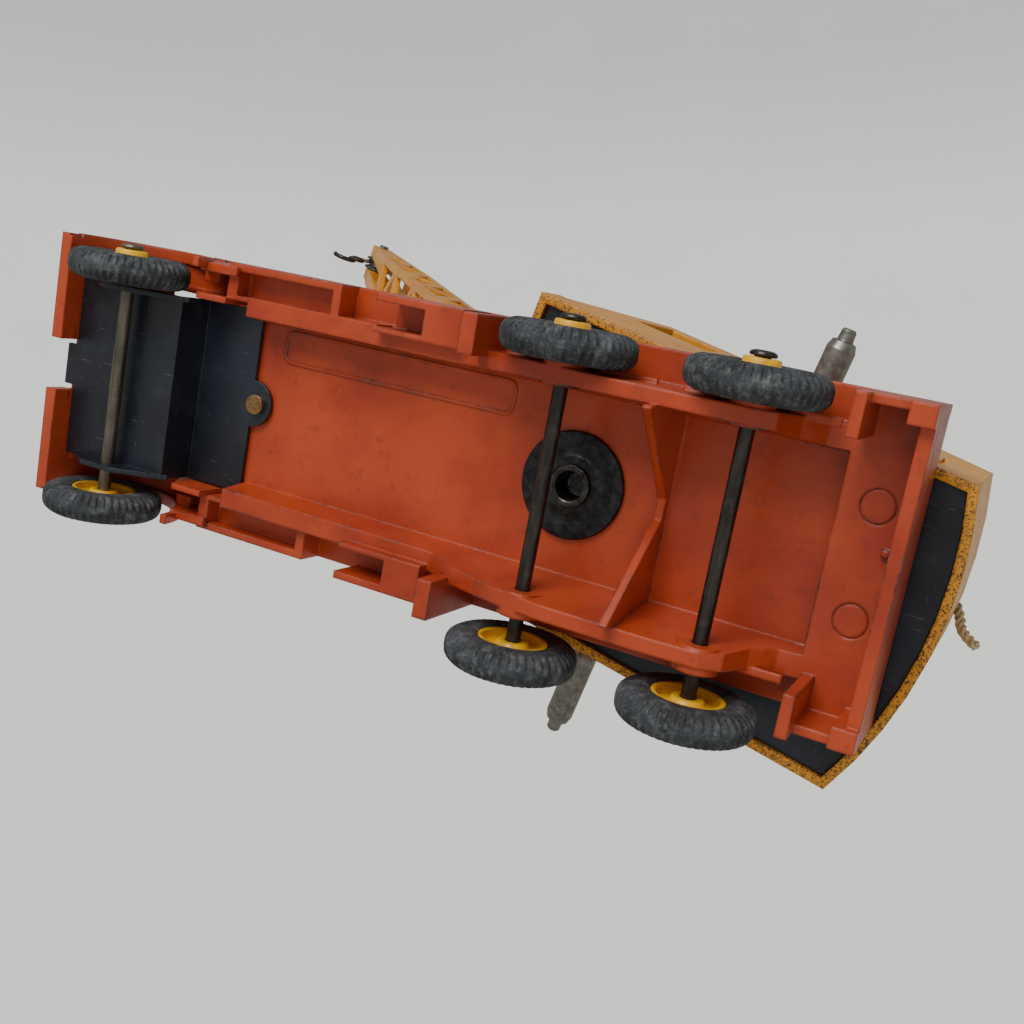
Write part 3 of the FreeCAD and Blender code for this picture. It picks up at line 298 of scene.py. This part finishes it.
def cotton():
    """Grubby cotton yarn with fine fibres."""
    s = Shader("cord_cotton")
    colour = s.mix(s.ramp(s.noise(900, 4), 0.35, 0.7), rgb(196, 172, 128), rgb(150, 126, 88))
    fibre = s.noise(5200, 3, 0.6)
    colour = s.mix(s.times(s.ramp(fibre, 0.5, 0.8), 0.5), colour, rgb(226, 208, 170))
    colour = s.mix(s.times(s.ramp(s.noise(380, 4), 0.56, 0.75), 0.5), colour, rgb(96, 80, 58))
    normal = s.bump(fibre, 0.7, 0.00012)
    rough = s.ramp(fibre, 0.3, 0.7, 0.75, 0.95)
    return s.finish(colour, rough, 0.0, normal, Sheen_Weight=0.4, Sheen_Roughness=0.5)


ORANGE = enamel(
    "orange_enamel", rgb(178, 68, 33), rgb(152, 50, 26), rgb(206, 116, 84), rgb(112, 100, 94), 0.8,
)
YELLOW = enamel(
    "yellow_enamel", rgb(222, 152, 38), rgb(208, 134, 26), rgb(232, 184, 92), rgb(86, 72, 58), 0.6,
    rim=("Z", 0.0252, 0.0237, 0.56), grime=0.4,
)
JIB_YELLOW = enamel(
    "jib_enamel", rgb(222, 152, 38), rgb(208, 134, 26), rgb(232, 184, 92), rgb(96, 84, 70), 0.7, grime=0.4,
)
HUB_YELLOW = enamel(
    "hub_enamel", rgb(238, 184, 18), rgb(226, 166, 12), rgb(246, 206, 70), rgb(98, 88, 66), 0.45, grime=0.55,
)
BLACK = tinplate()
BRASS = metal("rivet_brass", rgb(168, 132, 88), rgb(132, 98, 62), rgb(78, 58, 40), 0.3, 0.5)
STEEL = metal("dull_steel", rgb(150, 147, 140), rgb(116, 113, 107), rgb(86, 74, 62), 0.34, 0.58)
GREY_CAST = metal("grey_casting", rgb(128, 128, 126), rgb(96, 96, 94), rgb(70, 66, 60), 0.4, 0.62)
GUN = metal("gunmetal_axle", rgb(84, 80, 75), rgb(58, 55, 52), rgb(62, 48, 38), 0.26, 0.48, (1, 0.15, 1))
PALE_AXLE = metal("pale_axle", rgb(132, 126, 112), rgb(98, 92, 82), rgb(74, 62, 50), 0.3, 0.5, (1, 0.15, 1))
WASHER = metal("washer_steel", rgb(66, 66, 66), rgb(42, 43, 45), rgb(96, 88, 76), 0.3, 0.5, (1, 1, 1), 0.2)
EYELET = metal("eyelet_steel", rgb(92, 90, 86), rgb(52, 51, 50), rgb(70, 58, 46), 0.24, 0.42)
TYRE = rubber()
CORD = cotton()


def dress(obj, material):
    obj.data.materials.clear()
    obj.data.materials.append(material)


# --- mesh helpers --------------------------------------------------------------------------

SLEW = math.radians(12.0)
LUFF = math.radians(49.3)
CRANE = Matrix.Rotation(SLEW, 4, "Z")
JIB_FOOT = Vector((21.4, 0, 28.0)) * MM
JIB = CRANE @ Matrix.Translation(JIB_FOOT) @ Matrix.Rotation(-LUFF, 4, "Y")
ON_AXIS = 1e-6
UNTURNED = Matrix()


def new_piece(name, mesh, material, body, slot, *nodes):
    """Make an object that rides on a body, and stands for CAD nodes if any are named."""
    piece = bpy.data.objects.new(name, mesh)
    bpy.context.scene.collection.objects.link(piece)
    dress(piece, material)
    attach(piece, body)
    if nodes:
        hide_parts(*nodes)
    return piece


def lathe(name, profile, steps, at=(0, 0, 0), turn=UNTURNED):
    """A mesh made by turning (radius, y) points in millimetres round the Y axis.

    The whole is then turned by a matrix and moved to a place, also in millimetres.
    """
    place = Matrix.Translation(Vector(at) * MM) @ turn
    mesh = bpy.data.meshes.new(name)
    shape = bmesh.new()
    rings = []
    for radius, y in profile:
        if radius < ON_AXIS:
            rings.append([shape.verts.new(place @ Vector((0, y * MM, 0)))])
            continue
        ring = []
        for step in range(steps):
            angle = math.tau * step / steps
            spot = Vector((radius * math.cos(angle), y, radius * math.sin(angle))) * MM
            ring.append(shape.verts.new(place @ spot))
        rings.append(ring)
    closed = profile[0][0] > ON_AXIS and profile[-1][0] > ON_AXIS
    pairs = list(zip(rings, rings[1:])) + ([(rings[-1], rings[0])] if closed else [])
    for one, two in pairs:
        for step in range(steps):
            after = (step + 1) % steps
            if len(one) == 1:
                shape.faces.new((one[0], two[step], two[after]))
            elif len(two) == 1:
                shape.faces.new((one[step], two[0], one[after]))
            else:
                shape.faces.new((one[step], two[step], two[after], one[after]))
    bmesh.ops.recalc_face_normals(shape, faces=shape.faces)
    shape.to_mesh(mesh)
    shape.free()
    smooth_by_angle(mesh, 32)
    return mesh


def smooth_by_angle(mesh, degrees):
    """Shade smooth, with hard edges where faces meet at more than an angle."""
    mesh.polygons.foreach_set("use_smooth", [True] * len(mesh.polygons))
    shape = bmesh.new()
    shape.from_mesh(mesh)
    limit = math.radians(degrees)
    for edge in shape.edges:
        edge.smooth = len(edge.link_faces) == 2 and edge.calc_face_angle(0) < limit
    shape.to_mesh(mesh)
    shape.free()


# --- wheels and axles ----------------------------------------------------------------------

# Of each axle: its x, how far apart its tyres' middles are, and how far it has slid to the right.
AXLES = {
    "front": (82.6, 40.4, 1.5),
    "middle": (0.7, 46.2, 1.9),
    "rear": (-26.8, 46.2, 1.9),
}
TYRE_PROFILE = [
    (5.32, -2.1), (5.7, -2.42), (6.3, -2.5), (7.2, -2.5), (7.9, -2.46), (8.25, -2.38), (8.7, -2.2),
    (9.2, -1.9), (9.6, -1.55), (9.82, -1.15), (9.93, -0.72), (9.97, -0.3), (9.97, 0.3), (9.93, 0.72),
    (9.82, 1.15), (9.6, 1.55), (9.2, 1.9), (8.7, 2.2), (8.25, 2.38), (7.9, 2.46), (7.2, 2.5),
    (6.3, 2.5), (5.7, 2.42), (5.32, 2.1),
]
LUGS = 48
STEPS_PER_LUG = 6
GROOVE_SHARE = 0.34
SIDEWALL = (6.2, 8)
SIDEWALL_RIBS = 22
SHOULDER = (8.1, 0.7)
SEAM = (0.5, 0.5)


def fraction(amount, start, span):
    """How far amount is through a span, 0 to 1."""
    return min(1.0, max(0.0, (amount - start) / span))


def tyre_mesh(name, at, seed):
    """A tyre whose shoulders are cut into staggered lugs, with a mould seam and a flat sidewall."""
    steps = LUGS * STEPS_PER_LUG
    chance = random.Random(seed)
    depth_of = [0.26 + 0.16 * chance.random() for _ in range(LUGS * 2)]
    shape = bmesh.new()
    rings = []
    for radius, y in TYRE_PROFILE:
        ring = []
        side = 1 if y > 0 else 0
        for step in range(steps):
            angle = math.tau * step / steps
            within = (step / STEPS_PER_LUG + 0.5 * side) % 1.0
            lug = int(step / STEPS_PER_LUG + 0.5 * side) % LUGS
            groove = 1.0 if within < GROOVE_SHARE else 0.0
            reach = fraction(radius, *SHOULDER) * fraction(abs(y), *SEAM)
            depth = depth_of[lug * 2 + side] * groove * reach
            on_wall = SIDEWALL[0] < radius < SIDEWALL[1]
            rib = 0.05 * math.sin(step / steps * math.tau * SIDEWALL_RIBS) if on_wall else 0.0
            wobble = 0.03 * math.sin(3 * angle + seed) + 0.02 * math.sin(7 * angle + seed * 2)
            r = radius - depth * 0.8 + wobble * (radius > 7)
            sunk = y - math.copysign(depth * 0.55 + rib * 0.4, y) if abs(y) > 0.4 else y
            spot = Vector((at[0] + r * math.cos(angle), at[1] + sunk, at[2] + r * math.sin(angle)))
            ring.append(shape.verts.new(spot * MM))
        rings.append(ring)
    for one, two in list(zip(rings, rings[1:])) + [(rings[-1], rings[0])]:
        for step in range(steps):
            after = (step + 1) % steps
            shape.faces.new((one[step], two[step], two[after], one[after]))
    bmesh.ops.recalc_face_normals(shape, faces=shape.faces)
    mesh = bpy.data.meshes.new(name)
    shape.to_mesh(mesh)
    shape.free()
    smooth_by_angle(mesh, 40)
    return mesh


HUB_PROFILE = [
    (1.2, -1.9), (2.2, -1.9), (2.35, -1.75), (2.6, -1.2), (4.2, -0.85), (4.5, -1.2), (4.6, -2.1),
    (4.75, -2.18), (5.25, -2.15), (5.31, -2.05), (5.31, 1.72), (5.24, 1.88), (5.05, 1.98), (4.85, 1.97),
    (4.6, 1.88), (4.42, 1.7), (4.28, 1.4), (4.1, 1.3), (3.5, 1.34), (3.0, 1.5), (2.78, 1.75),
    (2.66, 2.3), (2.6, 2.95), (2.5, 3.12), (2.3, 3.2), (1.2, 3.2),
]


AXLE_Z = 10
TYRE_HALF_WIDTH = 2.5
BOSS_PROUD = 0.7
END_FLOAT = 0.15


def axle_profile(reach):
    """A plain rod whose ends are spread into low domed heads."""
    end = [
        (1.1, reach - 0.6), (1.12, reach - 0.05), (1.7, reach), (1.88, reach + 0.12), (1.9, reach + 0.35),
        (1.72, reach + 0.62), (1.3, reach + 0.78), (0.85, reach + 0.84), (0.45, reach + 0.76),
        (0.0, reach + 0.72),
    ]
    start = [(radius, -y) for radius, y in reversed(end)]
    return start + end


def wheels():
    """Tyres, hubs and axles of the three axle sets."""
    for seed, (row, (x, track, slid)) in enumerate(AXLES.items()):
        reach = track / 2 + TYRE_HALF_WIDTH + BOSS_PROUD + END_FLOAT
        mesh = lathe(f"{row}_axle_rod", axle_profile(reach), 40, (x, -slid, AXLE_Z))
        material = PALE_AXLE if row == "front" else GUN
        new_piece(f"{row}_axle_rod", mesh, material, f"{row}_axle", "axle_steel", f"{row}_axle")
        for side_name, side in (("left", 1), ("right", -1)):
            where = f"{row}_{side_name}"
            at = (x, side * track / 2 - slid, AXLE_Z)
            mesh = tyre_mesh(f"tyre_{where}_tread", at, seed * 2 + (side > 0))
            new_piece(f"tyre_{where}_tread", mesh, TYRE, f"wheel_{where}", "tyre_rubber", f"tyre_{where}")
            turn = UNTURNED if side > 0 else Matrix.Rotation(math.pi, 4, "X")
            mesh = lathe(f"hub_{where}_rim", HUB_PROFILE, 80, at, turn)
            new_piece(f"hub_{where}_rim", mesh, HUB_YELLOW, f"wheel_{where}", "yellow_hub", f"hub_{where}")


wheels()


# --- turntable -----------------------------------------------------------------------------

# Radius and height of each point, in millimetres.
WASHER_PROFILE = [
    (3.03, 19.3), (3.1, 19.16), (4.2, 19.15), (4.6, 19.28), (5.1, 19.5), (5.7, 19.42), (6.3, 19.24),
    (6.9, 19.2), (7.8, 19.24), (8.2, 19.34), (8.35, 19.55), (8.35, 20.1), (8.2, 20.15), (3.03, 20.15),
]
RIVET_PROFILE = [
    (0.0, 22.7), (1.2, 22.85), (1.9, 22.6), (2.2, 21.8), (2.2, 18.75), (2.3, 18.5), (2.55, 18.34),
    (2.85, 18.3), (3.15, 18.38), (3.28, 18.6), (3.24, 18.9), (3.12, 19.08), (2.95, 19.1), (2.95, 25.0),
    (3.9, 25.02), (3.9, 25.4), (3.5, 25.85), (2.4, 25.9), (0.0, 25.9),
]


def turntable():
    """The dished washer and the rolled end of the semi-tubular rivet, seen from below."""
    stand = Matrix.Rotation(math.radians(90), 4, "X")
    mesh = lathe("washer_dish", WASHER_PROFILE, 112, turn=stand)
    new_piece("washer_dish", mesh, WASHER, "chassis", "tinned_steel", "pivot_washer")
    mesh = lathe("eyelet_roll", RIVET_PROFILE, 72, turn=stand)
    new_piece("eyelet_roll", mesh, EYELET, "chassis", "tinned_steel", "pivot_rivet")


turntable()


# --- finishes of the CAD nodes that stay ----------------------------------------------------

KEPT = {
    "chassis_casting": ORANGE,
    "base_plate": BLACK,
    "base_plate_rivet": BRASS,
    "turntable_ring": BLACK,
    "crane_house": YELLOW,
    "crane_base_plate": BLACK,
    "roof_sheave": GREY_CAST,
    "roof_sheave_pin": STEEL,
    "luff_drum": GREY_CAST,
    "hoist_drum": GREY_CAST,
    "luff_crank": STEEL,
    "hoist_crank": STEEL,
    "luff_grip": STEEL,
    "hoist_grip": STEEL,
    "jib_frame": JIB_YELLOW,
    "jib_pin": STEEL,
    "head_pin": STEEL,
    "head_sheave": GREY_CAST,
    "hook": GUN,
}
for node_name, node_material in KEPT.items():
    dress(NODES[node_name], node_material)


# --- cords ---------------------------------------------------------------------------------

YARNS = 3
YARN_SIDES = 8
YARN_SHARE = 0.52


def strands(name, path, radius, pitch=0.0021, steps_per_turn=14):
    """Twisted yarns round a path of points in metres, as one mesh; pitch is one whole twist."""
    lengths = [0.0]
    for one, two in zip(path, path[1:]):
        lengths.append(lengths[-1] + (two - one).length)
    total = lengths[-1]
    samples = max(8, int(total / pitch * steps_per_turn))
    yarn = radius * YARN_SHARE
    shape = bmesh.new()
    frames = []
    reference = None
    index = 0
    for i in range(samples + 1):
        s = total * i / samples
        while index < len(path) - 2 and lengths[index + 1] < s:
            index += 1
        span = lengths[index + 1] - lengths[index]
        t = (s - lengths[index]) / span if span else 0
        point = path[index].lerp(path[index + 1], t)
        ahead = (path[min(index + 2, len(path) - 1)] - path[max(index - 1, 0)]).normalized()
        if reference is None:
            reference = ahead.orthogonal().normalized()
        reference = (reference - ahead * reference.dot(ahead)).normalized()
        frames.append((point, ahead, reference, s))
    for strand in range(YARNS):
        previous = None
        for point, ahead, out, s in frames:
            angle = math.tau * (s / pitch + strand / YARNS)
            spoke = Matrix.Rotation(angle, 3, ahead) @ out
            centre = point + spoke * (radius - yarn)
            side = ahead.cross(spoke)
            ring = []
            for corner in range(YARN_SIDES):
                around = math.tau * corner / YARN_SIDES
                outward = spoke * math.cos(around) + side * math.sin(around)
                ring.append(shape.verts.new(centre + outward * yarn))
            if previous:
                for corner in range(YARN_SIDES):
                    after = (corner + 1) % YARN_SIDES
                    shape.faces.new((previous[corner], previous[after], ring[after], ring[corner]))
            else:
                shape.faces.new(list(reversed(ring)))
            previous = ring
        shape.faces.new(previous)
    bmesh.ops.recalc_face_normals(shape, faces=shape.faces)
    mesh = bpy.data.meshes.new(name)
    shape.to_mesh(mesh)
    shape.free()
    mesh.polygons.foreach_set("use_smooth", [True] * len(mesh.polygons))
    return mesh


def smooth_line(points):
    """Close points along the smooth curve with these control points, in metres."""
    curve = bpy.data.curves.new("route", "CURVE")
    curve.dimensions = "3D"
    spline = curve.splines.new("NURBS")
    spline.points.add(len(points) - 1)
    for control, point in zip(spline.points, points):
        control.co = (*point, 1.0)
    spline.order_u = 3
    spline.use_endpoint_u = True
    spline.resolution_u = 12
    holder = bpy.data.objects.new("route", curve)
    bpy.context.scene.collection.objects.link(holder)
    bpy.context.view_layer.update()
    mesh = bpy.data.meshes.new_from_object(holder.evaluated_get(bpy.context.evaluated_depsgraph_get()))
    line = [vertex.co.copy() for vertex in mesh.vertices]
    bpy.data.meshes.remove(mesh)
    bpy.data.objects.remove(holder)
    bpy.data.curves.remove(curve)
    return line


CORD_RADIUS = 0.62 * MM
SLACK_RADIUS = 0.85 * MM
SLACK_PITCH = 0.0034
JIB_LENGTH = 160
FOOT_TURN_RADIUS = 1.62
HEAD_TURN_RADIUS = 3.02
HOIST_SHAFT_X = -9.0
LUFF_SHAFT_X = -26.0
SHAFT_Z = 41.0
WOUND_RADIUS = 3.2
STEPS_PER_WINDING = 24


def crane_point(x, y, z):
    return CRANE @ (Vector((x, y, z)) * MM)


def jib_point(x, y, z):
    return JIB @ (Vector((x, y, z)) * MM)


def arc(place, centre, radius, first, last, count=16):
    """Points on an arc in the plane y = 0 of the crane or the jib, angles in degrees."""
    points = []
    for step in range(count + 1):
        angle = math.radians(first + (last - first) * step / count)
        points.append(place(centre[0] + radius * math.cos(angle), 0, centre[1] + radius * math.sin(angle)))
    return points


def winding(x, turns, width, start_angle):
    """A helix of cord on a drum, in row metres."""
    points = []
    steps = turns * STEPS_PER_WINDING
    for step in range(steps + 1):
        angle = math.radians(start_angle) + math.tau * step / STEPS_PER_WINDING
        y = -width / 2 + width * step / steps
        forward = WOUND_RADIUS * math.cos(angle)
        rise = WOUND_RADIUS * math.sin(angle)
        points.append(crane_point(x + forward, y, SHAFT_Z + rise))
    return points


LUFF_CORD_ROUTE = [
    (-26.0, 4.8, 44.2), (-33.0, 6.0, 44.3), (-41.5, 7.6, 43.9), (-49.0, 8.2, 44.3),
    (-54.3, 6.1, 44.1), (-57.2, 3.7, 43.0), (-58.5, 1.5, 41.1), (-61.3, 1.1, 39.55),
]


def add_cord(name, path, body, *nodes, radius=CORD_RADIUS, **twist):
    """A piece of cord along a path, that rides on a body."""
    mesh = strands(name, path, radius, **twist)
    return new_piece(name, mesh, CORD, body, "cord", *nodes)


def cords():
    """The hoisting cord in its taut runs, windings and turns, and the slack luffing cord."""
    house = [crane_point(HOIST_SHAFT_X, 0, 37.8), crane_point(20.4, 0, 26.6)]
    add_cord("hoist_cord_in_house", house, "crane", "hoist_cord_house")
    run = [jib_point(1.2, 0, -1.6), jib_point(JIB_LENGTH - 0.4, 0, 3.0)]
    add_cord("hoist_cord_in_jib", run, "jib", "hoist_cord_jib")
    add_cord("hoist_cord_at_foot", arc(jib_point, (0, 0), FOOT_TURN_RADIUS, -186, -84), "jib")
    add_cord("hoist_cord_at_head", arc(jib_point, (JIB_LENGTH, 0), HEAD_TURN_RADIUS, 92, -50), "jib")
    wound = winding(HOIST_SHAFT_X, 9, 11.5, -90)
    add_cord("hoist_cord_wound", wound, "hoist_winch", steps_per_turn=8)
    wound = winding(LUFF_SHAFT_X, 5, 6.5, 90)
    add_cord("luff_cord_wound", wound, "luff_winch", steps_per_turn=8)
    line = smooth_line([crane_point(*point) for point in LUFF_CORD_ROUTE])
    slack = add_cord(
        "luff_cord_slack", line, "crane", "luff_cord", radius=SLACK_RADIUS, pitch=SLACK_PITCH,
    )
    dress(NODES["hoist_cord_fall"], CORD)


cords()


# --- stage ---------------------------------------------------------------------------------

FLOOR_HALF = 1.5


def add_floor():
    """A plain pale floor that is seen from above only, so the underside stays in view."""
    mesh = bpy.data.meshes.new("floor")
    corners = [(x * FLOOR_HALF, y * FLOOR_HALF, 0) for x, y in ((-1, -1), (1, -1), (1, 1), (-1, 1))]
    mesh.from_pydata(corners, [], [(0, 1, 2, 3)])
    floor = bpy.data.objects.new("floor", mesh)
    bpy.context.scene.collection.objects.link(floor)
    s = Shader("floor_paper")
    colour = s.mix(s.ramp(s.noise(9, 4), 0.3, 0.7), rgb(226, 226, 224), rgb(234, 234, 232))
    surface = s.add("ShaderNodeBsdfPrincipled", {"Base Color": colour, "Roughness": 0.7})
    clear = s.add("ShaderNodeBsdfTransparent")
    back = s.add("ShaderNodeNewGeometry").outputs["Backfacing"]
    both = s.add("ShaderNodeMixShader", {0: back, 1: surface.outputs[0], 2: clear.outputs[0]})
    s.feed(s.out.inputs[0], both.outputs[0])
    dress(floor, s.material)
    floor.visible_shadow = False
    floor.visible_diffuse = False
    floor.visible_glossy = False
    floor.visible_transmission = False


SKY_ENDS = ((212, 212, 207), (174, 175, 176))
SKY_TONES = (
    (0.3, (220, 221, 215)), (0.5, (219, 220, 215)), (0.61, (217, 219, 216)), (0.64, (204, 206, 207)),
    (0.68, (184, 185, 186)),
)
MOTTLE = (0.97, 1.03)
SEEN_STRENGTH = 1.38
LIT_STRENGTH = 0.62


def add_world():
    """A pale studio surround, a little darker towards one side, with a faint mottle.

    It is brighter where it is seen directly than in the light it gives.
    """
    world = bpy.data.worlds.new("studio")
    bpy.context.scene.world = world
    world.use_nodes = True
    sky = Nodes(world.node_tree)
    out = sky.add("ShaderNodeOutputWorld")
    where = sky.add("ShaderNodeTexCoord").outputs["Generated"]
    inputs = {0: where, 1: CAMERA_UP.normalized()}
    height = sky.add("ShaderNodeVectorMath", inputs, operation="DOT_PRODUCT").outputs["Value"]
    share = sky.add("ShaderNodeMapRange", {"Value": height, "From Min": -1, "From Max": 1})
    ramp = sky.add("ShaderNodeValToRGB", {0: share.outputs[0]})
    ramp.color_ramp.interpolation = "B_SPLINE"
    for element, tone in zip(ramp.color_ramp.elements, SKY_ENDS):
        element.color = rgb(*tone)
    for position, tone in SKY_TONES:
        ramp.color_ramp.elements.new(position).color = rgb(*tone)
    noise = sky.add("ShaderNodeTexNoise", {"Scale": 14, "Detail": 8, "Vector": where}).outputs["Fac"]
    inputs = {"Value": noise, "To Min": MOTTLE[0], "To Max": MOTTLE[1]}
    mottle = sky.add("ShaderNodeMapRange", inputs)
    tint = sky.mix(1.0, ramp.outputs[0], mottle.outputs[0], blend_type="MULTIPLY")
    seen = sky.add("ShaderNodeBackground", {"Color": tint, "Strength": SEEN_STRENGTH})
    lit = sky.add("ShaderNodeBackground", {"Color": tint, "Strength": LIT_STRENGTH})
    seen_directly = sky.add("ShaderNodeLightPath").outputs["Is Camera Ray"]
    inputs = {0: seen_directly, 1: lit.outputs[0], 2: seen.outputs[0]}
    choose = sky.add("ShaderNodeMixShader", inputs)
    sky.feed(out.inputs[0], choose.outputs[0])


LIT_POINT = Vector((0.025, 0, 0.03))


def add_light(name, towards, distance, size, power, glossy=False):
    """A square soft light that shines at the toy from a direction; glossy ones show in reflections."""
    data = bpy.data.lights.new(name, "AREA")
    data.shape = "SQUARE"
    data.size = size
    data.energy = power
    lamp = bpy.data.objects.new(name, data)
    direction = Vector(towards).normalized()
    lamp.location = LIT_POINT + direction * distance
    lamp.rotation_euler = direction.to_track_quat("Z", "Y").to_euler()
    lamp.visible_glossy = glossy
    bpy.context.scene.collection.objects.link(lamp)


add_floor()
add_world()
add_light("key", (0.15, 0.9, -0.75), 0.6, 0.35, 3.4, glossy=True)
add_light("low_fill", (-0.5, -0.2, -0.9), 0.7, 0.5, 1.0)
add_light("overhead", (-0.2, -0.35, 1.0), 0.7, 0.5, 4.0)
add_light("side", (0.9, -0.7, 0.4), 0.8, 0.4, 2.0)

bpy.context.view_layer.update()
